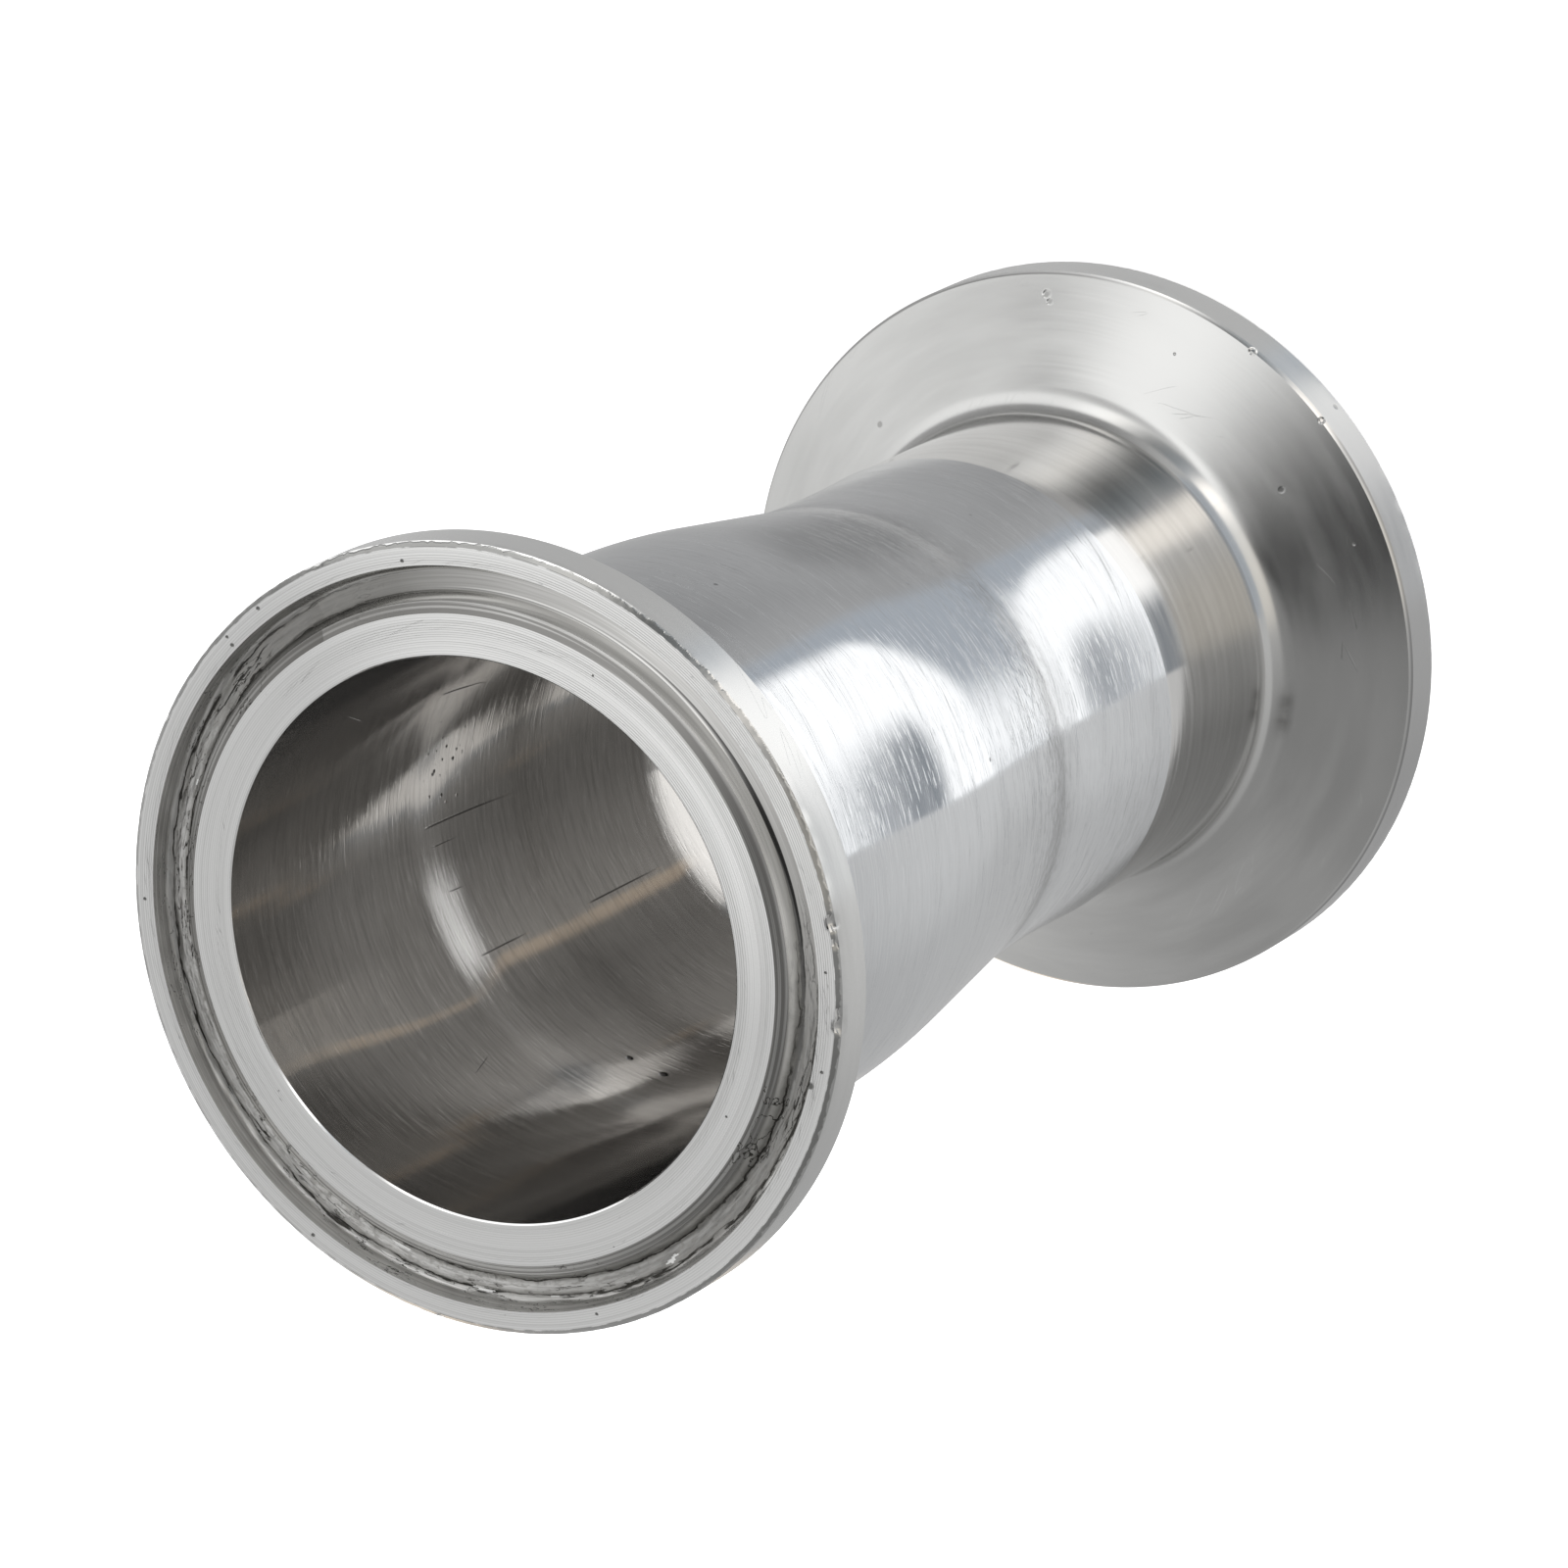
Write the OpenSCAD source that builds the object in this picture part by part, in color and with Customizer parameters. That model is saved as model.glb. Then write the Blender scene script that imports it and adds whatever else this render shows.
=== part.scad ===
// Sanitary clamp reducer, concentric.
// Two turned clamp ferrules are butt welded to the ends of a drawn reducing tube.
// The axis is Z. The part stands on the sealing face of its small end, at Z = 0,
// and its large bore opens upwards. All sizes are in millimetres.

/* [Clamp rims] */
// Diameter over each clamp rim
rim_od = 50.5; // [48:0.5:64]
// Length of the rim's cylindrical edge
rim_t = 3.4; // [2.5:0.1:5]
// Slope of the rim's back, which the clamp rides on
clamp_angle = 20; // [15:1:25]
// Fillet between the neck and the rim's back
root_fillet = 2.5; // [0.5:0.1:3.5]
// Bevel between the sealing face and the rim
front_bevel = 0.3; // [0.1:0.05:0.6]
// Bevel between the rim and its sloped back
back_bevel = 0.2; // [0.1:0.05:0.5]

/* [Gasket groove] */
// Flat land left outside the groove, up to the rim's diameter
outer_land = 1.5; // [1:0.1:2.5]
// Width of the groove's mouth
groove_w = 3; // [2.6:0.1:3.4]
// Depth of the groove
groove_depth = 1.3; // [0.9:0.05:1.6]
// Width of the eased inner lip
lip_w = 0.7; // [0.3:0.05:0.9]
// Drop of the eased inner lip
lip_drop = 0.4; // [0.2:0.05:0.6]
// Slope of the groove's inner flank, from the axis
inner_draft = 30; // [10:1:35]
// Slope of the groove's outer flank, from the axis
outer_draft = 15; // [5:1:25]
// Radius of the groove's bottom corners
floor_radius = 0.45; // [0.2:0.05:0.5]

/* [Tubes] */
// Outer diameter of the large tube
large_od = 38.1; // [35:0.1:39]
// Outer diameter of the small tube, a little over its nominal 32
small_od = 32.5; // [20:0.1:34]
// Wall of both tubes
wall = 1; // [0.8:0.05:1.6]
// Length of each ferrule, from its sealing face to its weld
ferrule_len = 21.5; // [14:0.5:40]
// Bevel at the mouth of each bore
bore_bevel = 0.1; // [0.05:0.05:0.4]

/* [Reducing body] */
// Length of the body between its two welds
body_len = 40; // [34:0.5:80]
// Straight skirt at the large end, up to the corner of the taper
large_skirt = 7.4; // [6:0.1:12]
// Flared skirt at the small end, up to the crease where the taper starts
small_skirt = 15.3; // [12:0.1:18]
// Length over which the taper turns into the large skirt
shoulder_blend = 10.4; // [4:0.1:11]
// Distance of the narrowest place of the small skirt from the small weld
waist_place = 5.5; // [3:0.5:8]
// Radius of the flare along the small skirt
flare_radius = 150; // [100:10:400]

/* [Welds] */
// Depth of the seam that each weld leaves in the bore
seam_depth = 0.1; // [0.05:0.05:0.2]

/* [Hidden] */
rim_r = rim_od / 2;
large_r = large_od / 2;
small_r = small_od / 2;
total_len = body_len + 2 * ferrule_len;
groove_out = rim_r - outer_land;
groove_in = groove_out - groove_w;
flare_c = [small_r + flare_radius, waist_place];
crease_r = flare_c.x - sqrt(pow(flare_radius, 2) - pow(small_skirt - waist_place, 2));
taper_end = body_len - large_skirt;
taper_angle = atan((large_r - crease_r) / (taper_end - small_skirt));
shoulder_radius = shoulder_blend / 2 / tan(taper_angle / 2);
shoulder_c = [large_r - shoulder_radius, taper_end + shoulder_blend / 2];
$fn = 180;
long_arc_fn = 1440;

// Point at the given angle on a circle of radius r round c
function on_circle(c, r, angle) = [c.x + r * cos(angle), c.y + r * sin(angle)];

// Section of the gasket groove, cut into a sealing face that lies at y = 0.
// The inner lip is eased, both flanks lean out and the bottom corners are round.
module groove_section() {
    in_c = [
        groove_in + lip_w + (groove_depth - lip_drop) * tan(inner_draft)
            + floor_radius * tan(45 - inner_draft / 2),
        groove_depth - floor_radius
    ];
    out_c = [
        groove_out - groove_depth * tan(outer_draft)
            - floor_radius * tan(45 - outer_draft / 2),
        groove_depth - floor_radius
    ];
    above = 1;
    union() {
        polygon([
            [groove_in - lip_w / lip_drop * above, -above],
            [groove_in + lip_w, lip_drop],
            on_circle(in_c, floor_radius, 180 - inner_draft),
            [in_c.x, groove_depth],
            [out_c.x, groove_depth],
            on_circle(out_c, floor_radius, outer_draft),
            [groove_out, 0],
            [groove_out, -above]
        ]);
        translate(in_c) circle(floor_radius);
        translate(out_c) circle(floor_radius);
    }
}

// Section of one ferrule, with its sealing face at y = 0 and its weld at y = ferrule_len.
// The fillet is tangent to the neck and to the rim's sloped back.
module ferrule_section(tube_r) {
    bore_r = tube_r - wall;
    slope = tan(clamp_angle);
    fillet_x = tube_r + root_fillet;
    fillet_c = [
        fillet_x,
        rim_t + (rim_r - fillet_x) * slope + root_fillet / cos(clamp_angle)
    ];
    fillet_end = on_circle(fillet_c, root_fillet, 270 - clamp_angle);
    difference() {
        polygon([
            [bore_r + bore_bevel, 0],
            [rim_r - front_bevel, 0],
            [rim_r, front_bevel],
            [rim_r, rim_t - back_bevel],
            [rim_r - back_bevel, rim_t + back_bevel * slope],
            fillet_end,
            fillet_c,
            [tube_r, fillet_c.y],
            [tube_r, ferrule_len],
            [bore_r + seam_depth, ferrule_len],
            [bore_r, ferrule_len - seam_depth],
            [bore_r, bore_bevel]
        ]);
        translate(fillet_c) circle(root_fillet);
        groove_section();
    }
}

// Filled section from the axis to a surface that lies inset under the body's outside.
// It follows the flare from flare_start, then the taper, the rounded shoulder and the
// large skirt. The flare and the taper cross at the crease, so each runs on past it.
module drawn_section(inset, flare_start) {
    shoulder_start = on_circle(shoulder_c, shoulder_radius - inset, -taper_angle);
    union() {
        difference() {
            translate([0, flare_start])
            square([large_r, (small_skirt + shoulder_start.y) / 2 - flare_start]);
            translate(flare_c) circle(flare_radius + inset, $fn = long_arc_fn);
        }
        polygon([
            [0, 0],
            [shoulder_start.x - shoulder_start.y * tan(taper_angle), 0],
            shoulder_start,
            [large_r - inset, shoulder_c.y],
            [large_r - inset, body_len],
            [0, body_len]
        ]);
        intersection() {
            square([large_r, shoulder_c.y]);
            translate(shoulder_c) circle(shoulder_radius - inset, $fn = long_arc_fn);
        }
    }
}

// Section of the drawn body, with its small weld at y = 0.
// The wall is even from the waist up. Below the waist the bore stays straight.
module body_section() {
    small_bore_r = small_r - wall;
    large_bore_r = large_r - wall;
    difference() {
        drawn_section(0, 0);
        drawn_section(wall, waist_place);
        square([small_bore_r, waist_place]);
        polygon([[0, 0], [small_bore_r + seam_depth, 0], [small_bore_r, seam_depth], [0, seam_depth]]);
        polygon([
            [0, body_len],
            [large_bore_r + seam_depth, body_len],
            [large_bore_r, body_len - seam_depth],
            [0, body_len - seam_depth]
        ]);
    }
}

// Turned ferrule at the small end, whose sealing face is the foot of the part
module small_ferrule() {
    color([0.74, 0.74, 0.73])
    rotate_extrude()
        ferrule_section(small_r);
}

// Drawn and belt-polished body, welded to the small ferrule
module reducer_body() {
    color([0.8, 0.81, 0.83])
    translate([0, 0, ferrule_len])
    rotate_extrude()
        body_section();
}

// Turned ferrule at the large end, whose sealing face looks up
module large_ferrule() {
    color([0.74, 0.74, 0.73])
    translate([0, 0, total_len])
    mirror([0, 0, 1])
    rotate_extrude()
        ferrule_section(large_r);
}

small_ferrule();
reducer_body();
large_ferrule();
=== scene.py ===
import bpy
from math import asin, atan, atan2, cos, degrees, exp, hypot, pi, radians, sin, sqrt, tan
from mathutils import Matrix, Vector, noise


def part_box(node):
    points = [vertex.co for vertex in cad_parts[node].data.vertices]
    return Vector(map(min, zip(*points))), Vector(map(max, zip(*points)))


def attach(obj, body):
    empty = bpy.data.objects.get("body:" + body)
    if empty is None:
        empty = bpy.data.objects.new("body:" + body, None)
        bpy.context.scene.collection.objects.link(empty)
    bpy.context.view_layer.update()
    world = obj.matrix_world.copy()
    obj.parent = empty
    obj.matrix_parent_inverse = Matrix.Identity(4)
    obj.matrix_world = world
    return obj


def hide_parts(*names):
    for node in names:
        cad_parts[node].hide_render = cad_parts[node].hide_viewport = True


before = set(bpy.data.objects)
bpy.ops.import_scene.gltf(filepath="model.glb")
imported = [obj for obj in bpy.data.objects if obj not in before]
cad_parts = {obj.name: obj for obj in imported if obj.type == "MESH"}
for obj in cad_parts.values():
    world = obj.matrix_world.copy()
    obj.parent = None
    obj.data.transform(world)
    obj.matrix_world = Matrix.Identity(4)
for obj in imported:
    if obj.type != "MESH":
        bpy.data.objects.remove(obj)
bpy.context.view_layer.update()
bpy.ops.object.select_all(action="DESELECT")

# Camera
# A long lens looks down into the large bore. The frame is rolled, so that
# the fitting lies from the lower left to the upper right of the picture.
place = Vector((0, -0.3325947, 0.5519447))
aim = Vector((0.0000414, 0.0014341, 0.0424402))
roll = radians(-117.34127)
bpy.ops.object.camera_add()
camera = bpy.context.object
camera.name = "camera"
camera.data.lens = 215.2063
camera.data.sensor_width = 36
camera.data.clip_start = 0.01
facing = (aim - place).to_track_quat("-Z", "Y").to_matrix().to_4x4()
camera.matrix_world = Matrix.Translation(place) @ facing @ Matrix.Rotation(roll, 4, "Z")
bpy.context.scene.camera = camera

# Large ferrule
# Turned from stainless bar. Its face carries the gasket groove, its rim slopes
# at the back for the clamp, and its neck is butt welded to the reducing body.
mm = 0.001
_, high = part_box("large_ferrule")
rim_radius = high.x / mm
face_height = high.z / mm
tube_radius = 19.05
wall = 1.0
ferrule_length = 21.5
rim_length = 3.4
front_bevel = 0.3
back_bevel = 0.2
clamp_angle = radians(20)
clamp_slope = tan(clamp_angle)
root_fillet = 2.5
outer_land = 1.5
groove_width = 3.0
groove_depth = 1.3
bore_bevel = 0.1
turns = 720
# The swell over a weld starts before it, is full just past it and eases off by past_swell.
swell_height = 0.02
before_swell, full_swell, past_swell = 3, 0.6, 5.2
swell_step = 0.2
# The tool cut clean round this bearing, and tore the groove elsewhere.
clean_bearing = -62
# Marks round the axis keep their size at this radius.
mean_radius = 19
pen = [0.0, 0.0]


def start_section(name, r, z):
    # The section starts as one point, and is drawn in the XZ plane.
    bpy.ops.mesh.primitive_plane_add(size=mm, location=(r * mm, 0, z * mm))
    piece = bpy.context.object
    piece.name = name
    bpy.ops.object.mode_set(mode="EDIT")
    bpy.ops.mesh.merge(type="CENTER")
    pen[:] = r, z
    return piece


def line_to(r, z, cuts=1):
    step = ((r - pen[0]) / cuts * mm, 0, (z - pen[1]) / cuts * mm)
    for _ in range(cuts):
        bpy.ops.mesh.extrude_vertices_move(TRANSFORM_OT_translate={"value": step})
    pen[:] = r, z


def arc_about(r, z, turn, cuts=8):
    # A positive turn goes from the radius towards the height.
    bpy.ops.mesh.spin(
        steps=cuts, angle=radians(turn), center=(r * mm, 0, z * mm), axis=(0, 1, 0)
    )
    across, up = pen[0] - r, pen[1] - z
    c, s = cos(radians(turn)), sin(radians(turn))
    pen[:] = r + across * c - up * s, z + across * s + up * c


def turn_section(piece, steps):
    bpy.ops.object.mode_set(mode="OBJECT")
    bpy.ops.object.transform_apply(location=True, rotation=True, scale=True)
    bpy.ops.object.modifier_add(type="SCREW")
    lathe = piece.modifiers[-1]
    lathe.steps = lathe.render_steps = steps
    lathe.use_merge_vertices = True
    lathe.merge_threshold = 0.005 * mm
    bpy.ops.object.modifier_apply(modifier=lathe.name)
    bpy.ops.object.mode_set(mode="EDIT")
    bpy.ops.mesh.select_all(action="SELECT")
    bpy.ops.mesh.remove_doubles(threshold=0.005 * mm)
    bpy.ops.mesh.normals_make_consistent(inside=False)
    bpy.ops.object.mode_set(mode="OBJECT")
    bpy.ops.object.shade_smooth_by_angle(angle=radians(28))


def swell_over_weld(past):
    # The ground weld stands a little proud in the bore, and eases off along the body.
    rise = min(max((past + before_swell) / (full_swell + before_swell), 0), 1)
    fall = min(max((past - full_swell) / (past_swell - full_swell), 0), 1)
    return swell_height * rise * rise * (3 - 2 * rise) * (1 - fall) ** 2


def draw_ferrule(name, tube_r, face_z, way):
    # way is 1 where the face looks up and -1 where it looks down.
    def at(depth):
        return face_z - way * depth

    bore_r = tube_r - wall
    groove_out = rim_radius - outer_land
    groove_in = groove_out - groove_width
    corner, lip_w, lip_drop = 0.45, 0.7, 0.4
    inner_draft, outer_draft = radians(30), radians(15)
    corner_depth = groove_depth - corner
    lip_end = groove_in + lip_w
    in_x = lip_end + (groove_depth - lip_drop) * tan(inner_draft) + corner * tan(pi / 4 - inner_draft / 2)
    out_x = groove_out - groove_depth * tan(outer_draft) - corner * tan(pi / 4 - outer_draft / 2)
    flank_foot = corner_depth + corner * sin(outer_draft)
    fillet_x = tube_r + root_fillet
    cone_at_fillet = rim_length + (rim_radius - fillet_x) * clamp_slope
    fillet_depth = cone_at_fillet + root_fillet / cos(clamp_angle)

    piece = start_section(name, tube_r, at(ferrule_length))
    line_to(tube_r, at(fillet_depth), 10)
    arc_about(fillet_x, at(fillet_depth), way * (degrees(clamp_angle) - 90), 14)
    line_to(rim_radius - back_bevel, at(rim_length + back_bevel * clamp_slope), 8)
    line_to(rim_radius, at(rim_length - back_bevel), 2)
    line_to(rim_radius, at(front_bevel), 8)
    line_to(rim_radius - front_bevel, at(0), 3)
    line_to(groove_out, at(0), 6)
    line_to(out_x + corner * cos(outer_draft), at(flank_foot), 5)
    arc_about(out_x, at(corner_depth), way * (degrees(outer_draft) - 90), 6)
    line_to(in_x, at(groove_depth), 9)
    arc_about(in_x, at(corner_depth), way * (degrees(inner_draft) - 90), 6)
    line_to(lip_end, at(lip_drop), 5)
    line_to(groove_in, at(0), 3)
    line_to(bore_r + bore_bevel, at(0), 6)
    line_to(bore_r, at(bore_bevel), 2)
    line_to(bore_r, at(ferrule_length - before_swell), 10)
    for step in range(-14, 1):
        past = step * swell_step
        line_to(bore_r - swell_over_weld(past), at(ferrule_length + past))
    line_to(tube_r, at(ferrule_length), 2)
    turn_section(piece, turns)
    return piece


def reckon(tree, operation, *values):
    node = tree.nodes.new("ShaderNodeMath")
    node.operation = operation
    for socket, value in zip(node.inputs, values):
        if isinstance(value, bpy.types.NodeSocket):
            tree.links.new(value, socket)
        else:
            socket.default_value = value
    return node.outputs[0]


def times(tree, first, *others):
    for other in others:
        first = reckon(tree, "MULTIPLY", first, other)
    return first


def largest(tree, first, *others):
    for other in others:
        first = reckon(tree, "MAXIMUM", first, other)
    return first


def away_from(tree, value, middle):
    return reckon(tree, "ABSOLUTE", reckon(tree, "SUBTRACT", value, middle))


def towards(tree, bearing, middle):
    # 1 at the middle bearing, and down to -1 on the opposite side.
    turn = reckon(tree, "SUBTRACT", bearing, middle)
    return reckon(tree, "COSINE", reckon(tree, "MULTIPLY", turn, pi / 180))


def spread(tree, value, low, high, to_low=0.0, to_high=1.0):
    node = tree.nodes.new("ShaderNodeMapRange")
    node.interpolation_type = "SMOOTHSTEP"
    tree.links.new(value, node.inputs["Value"])
    for socket, number in zip(list(node.inputs)[1:5], (low, high, to_low, to_high)):
        socket.default_value = number
    return node.outputs["Result"]


def tint(tree, factor, first, second):
    node = tree.nodes.new("ShaderNodeMix")
    node.data_type = "RGBA"
    tree.links.new(factor, node.inputs["Factor"])
    for socket, colour in ((node.inputs["A"], first), (node.inputs["B"], second)):
        if isinstance(colour, bpy.types.NodeSocket):
            tree.links.new(colour, socket)
        else:
            socket.default_value = (*colour, 1)
    return node.outputs["Result"]


def shades_along(tree, factor, reach, stops, full=1.0):
    # Each stop is a place up to reach and a brightness or colour up to full.
    node = tree.nodes.new("ShaderNodeValToRGB")
    tree.links.new(factor, node.inputs[0])
    marks = node.color_ramp.elements
    while len(marks) < len(stops):
        marks.new(0.5)
    for mark, (place, shade) in zip(marks, stops):
        shade = shade if isinstance(shade, tuple) else (shade,) * 3
        mark.position = place / reach
        mark.color = (*(part / full for part in shade), 1)
    return node.outputs["Color"]


def start_group(name, numbers, results):
    group = bpy.data.node_groups.new(name, "ShaderNodeTree")
    for label, number in numbers.items():
        socket = group.interface.new_socket(label, in_out="INPUT", socket_type="NodeSocketFloat")
        socket.default_value = number
    for label in results:
        group.interface.new_socket(label, in_out="OUTPUT", socket_type="NodeSocketFloat")
    return group, group.nodes.new("NodeGroupInput").outputs, group.nodes.new("NodeGroupOutput").inputs


def use_group(tree, group, result, **numbers):
    node = tree.nodes.new("ShaderNodeGroup")
    node.node_tree = group
    for label, number in numbers.items():
        node.inputs[label].default_value = number
    return node.outputs[result]


# Distance from the axis and height in millimetres, and bearing round it in degrees.
turned_place, _, given = start_group("turned_place", {}, ("Radius", "Height", "Bearing"))
coords = turned_place.nodes.new("ShaderNodeTexCoord").outputs["Object"]
parts = turned_place.nodes.new("ShaderNodeSeparateXYZ")
turned_place.links.new(coords, parts.inputs[0])
x, y, z = parts.outputs
square = reckon(turned_place, "ADD", times(turned_place, x, x), times(turned_place, y, y))
radius = times(turned_place, reckon(turned_place, "SQRT", square), 1 / mm)
turned_place.links.new(radius, given["Radius"])
turned_place.links.new(times(turned_place, z, 1 / mm), given["Height"])
turn = times(turned_place, reckon(turned_place, "ARCTAN2", y, x), 180 / pi)
turned_place.links.new(turn, given["Bearing"])

# Marks that run round the axis, or lie on a steep or shallow screw line round it.
# Around and Across are marks per millimetre, and Twist is in radians per millimetre.
tool_marks, asked, given = start_group(
    "tool_marks", {"Around": 0.1, "Across": 3, "Twist": 0, "Seed": 0, "Detail": 2}, ("Marks",)
)
coords = tool_marks.nodes.new("ShaderNodeTexCoord").outputs["Object"]
parts = tool_marks.nodes.new("ShaderNodeSeparateXYZ")
tool_marks.links.new(coords, parts.inputs[0])
x, y, z = parts.outputs
radius = use_group(tool_marks, turned_place, "Radius")
height = use_group(tool_marks, turned_place, "Height")
across = reckon(tool_marks, "ADD", radius, times(tool_marks, height, 0.83))
flat = tool_marks.nodes.new("ShaderNodeCombineXYZ")
for socket, value in ((flat.inputs[0], x), (flat.inputs[1], y)):
    unit = reckon(tool_marks, "DIVIDE", times(tool_marks, value, mean_radius / mm), radius)
    tool_marks.links.new(times(tool_marks, unit, asked["Around"]), socket)
turned = tool_marks.nodes.new("ShaderNodeVectorRotate")
turned.rotation_type = "Z_AXIS"
tool_marks.links.new(flat.outputs[0], turned.inputs["Vector"])
tool_marks.links.new(times(tool_marks, across, asked["Twist"]), turned.inputs["Angle"])
raised = tool_marks.nodes.new("ShaderNodeVectorMath")
lift = tool_marks.nodes.new("ShaderNodeCombineXYZ")
tool_marks.links.new(times(tool_marks, across, asked["Across"]), lift.inputs[2])
tool_marks.links.new(turned.outputs[0], raised.inputs[0])
tool_marks.links.new(lift.outputs[0], raised.inputs[1])
grain = tool_marks.nodes.new("ShaderNodeTexNoise")
grain.noise_dimensions = "4D"
grain.inputs["Scale"].default_value = 1
tool_marks.links.new(raised.outputs[0], grain.inputs["Vector"])
tool_marks.links.new(asked["Seed"], grain.inputs["W"])
tool_marks.links.new(asked["Detail"], grain.inputs["Detail"])
tool_marks.links.new(grain.outputs["Fac"], given["Marks"])

# Small pits and specks, with Size in specks per millimetre.
pits, asked, given = start_group("pits", {"Size": 1, "Seed": 0, "Share": 0.1}, ("Pits",))
coords = pits.nodes.new("ShaderNodeTexCoord").outputs["Object"]
scaled = pits.nodes.new("ShaderNodeVectorMath")
scaled.operation = "SCALE"
pits.links.new(coords, scaled.inputs[0])
pits.links.new(times(pits, asked["Size"], 1 / mm), scaled.inputs["Scale"])
cells = pits.nodes.new("ShaderNodeTexVoronoi")
cells.voronoi_dimensions = "4D"
cells.inputs["Scale"].default_value = 1
pits.links.new(scaled.outputs[0], cells.inputs["Vector"])
pits.links.new(asked["Seed"], cells.inputs["W"])
hue = pits.nodes.new("ShaderNodeSeparateXYZ")
pits.links.new(cells.outputs["Color"], hue.inputs[0])
chosen = reckon(pits, "LESS_THAN", hue.outputs[0], asked["Share"])
near = spread(pits, cells.outputs["Distance"], 0.28, 0.12)
pits.links.new(times(pits, chosen, near), given["Pits"])


def start_steel(name, roughness, anisotropic=0.0):
    steel = bpy.data.materials.new(name)
    steel.use_nodes = True
    tree = steel.node_tree
    shader = tree.nodes["Principled BSDF"]
    shader.inputs["Metallic"].default_value = 1
    shader.inputs["Roughness"].default_value = roughness
    if anisotropic:
        shader.inputs["Anisotropic"].default_value = anisotropic
        shader.inputs["Anisotropic Rotation"].default_value = 0.25
        along = tree.nodes.new("ShaderNodeTangent")
        along.direction_type = "RADIAL"
        along.axis = "Z"
        tree.links.new(along.outputs[0], shader.inputs["Tangent"])
    return steel, tree, shader


def tooling(tree, **numbers):
    return use_group(tree, tool_marks, "Marks", **numbers)


def coat(tree, shader, colour, roughness, heights):
    # Each height is a field and its depth in micrometres.
    tree.links.new(colour, shader.inputs["Base Color"])
    tree.links.new(roughness, shader.inputs["Roughness"])
    normal = None
    for field, depth in heights:
        bump = tree.nodes.new("ShaderNodeBump")
        bump.inputs["Strength"].default_value = 1
        bump.inputs["Distance"].default_value = depth * 1e-6
        tree.links.new(field, bump.inputs["Height"])
        if normal:
            tree.links.new(normal, bump.inputs["Normal"])
        normal = bump.outputs[0]
    tree.links.new(normal, shader.inputs["Normal"])


def crack(tree, marks, width):
    # A thin line wherever the marks cross their middle value.
    return spread(tree, away_from(tree, marks, 0.5), width, width * 0.3)


def dents(tree, places, z, rise=0.0):
    # Each place is a bearing, a radius and a size, in degrees and millimetres.
    # On a slope, z is the height at the rim's edge, and rise is how steeply it goes up inwards.
    coords = tree.nodes.new("ShaderNodeTexCoord").outputs["Object"]
    found = []
    for bearing, r, size in places:
        gap = tree.nodes.new("ShaderNodeVectorMath")
        gap.operation = "DISTANCE"
        tree.links.new(coords, gap.inputs[0])
        turn = radians(bearing)
        level = z + (rim_radius - r) * rise
        gap.inputs[1].default_value = (r * mm * cos(turn), r * mm * sin(turn), level * mm)
        found.append(spread(tree, gap.outputs["Value"], size * mm, size * mm * 0.4))
    return largest(tree, *found)


# The flat lands of the face, with the rings of the facing cut, pits and small nicks, a painted sheen on
# one side and painted shade in the nicks.
faced_steel, tree, shader = start_steel("faced_steel", 0.3)
radius = use_group(tree, turned_place, "Radius")
bearing = use_group(tree, turned_place, "Bearing")
slow = tooling(tree, Around=0.03, Across=1.1, Seed=5.7, Detail=3)
facing_pitch = 0.15
waver = times(tree, slow, 9)
feed = reckon(tree, "SINE", reckon(tree, "MULTIPLY_ADD", radius, 2 * pi / facing_pitch, waver))
cut_lines = times(tree, spread(tree, feed, 0.1, 0.95), spread(tree, slow, 0.3, 0.62, 0.25, 1))
specks = use_group(tree, pits, "Pits", Size=2.4, Seed=2.2, Share=0.02)
knocks = dents(tree, (
    (7.6, 24.7, 0.16), (14.9, 24.7, 0.13), (15.1, 24.1, 0.16), (242.6, 24.3, 0.12),
    (227.6, 24.4, 0.14), (224.9, 23.85, 0.3), (212.4, 19.3, 0.1), (340.8, 24.1, 0.15),
    (60.5, 24.4, 0.14), (118, 24.5, 0.16), (168, 24.2, 0.13), (304, 19.9, 0.1),
), face_height)
slanted = tooling(tree, Around=1.1, Across=0.35, Twist=0.2, Seed=12.3, Detail=1)
scratch = times(tree, crack(tree, slanted, 0.004), spread(tree, slow, 0.52, 0.56))
ragged = tooling(tree, Around=1.3, Across=0.8, Seed=51.2, Detail=4)
at_rim = spread(tree, radius, rim_radius - 0.39, rim_radius - 0.32)
burr = times(tree, at_rim, spread(tree, ragged, 0.4, 0.55))
# Painted shade: the knocks are painted dark inside, besides being dented by the bump.
dark = largest(
    tree, times(tree, specks, 0.5), times(tree, burr, 0.8), times(tree, scratch, 0.35), knocks
)
wide = tooling(tree, Around=0.01, Across=5, Seed=3.1, Detail=2)
rings = spread(tree, wide, 0.36, 0.5)
dull_tone = tint(tree, rings, (0.49, 0.49, 0.485), (0.545, 0.545, 0.54))
painted_sheen_tone = tint(tree, rings, (0.71, 0.71, 0.7), (0.8, 0.8, 0.79))
# Painted sheen: the lands are painted lighter towards the clean bearing, in place of the glint of the
# facing rings.
painted_sheen_side = spread(tree, towards(tree, bearing, clean_bearing), 0.3, 1)
tone = tint(tree, painted_sheen_side, dull_tone, painted_sheen_tone)
tone = tint(tree, times(tree, cut_lines, 0.8), tone, (0.4, 0.4, 0.39))
tone = tint(tree, dark, tone, (0.13, 0.13, 0.125))
coat(tree, shader, tone, spread(tree, slow, 0.3, 0.7, 0.27, 0.31), (
    (cut_lines, -3), (specks, -20), (scratch, -8), (knocks, -60),
))

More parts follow.
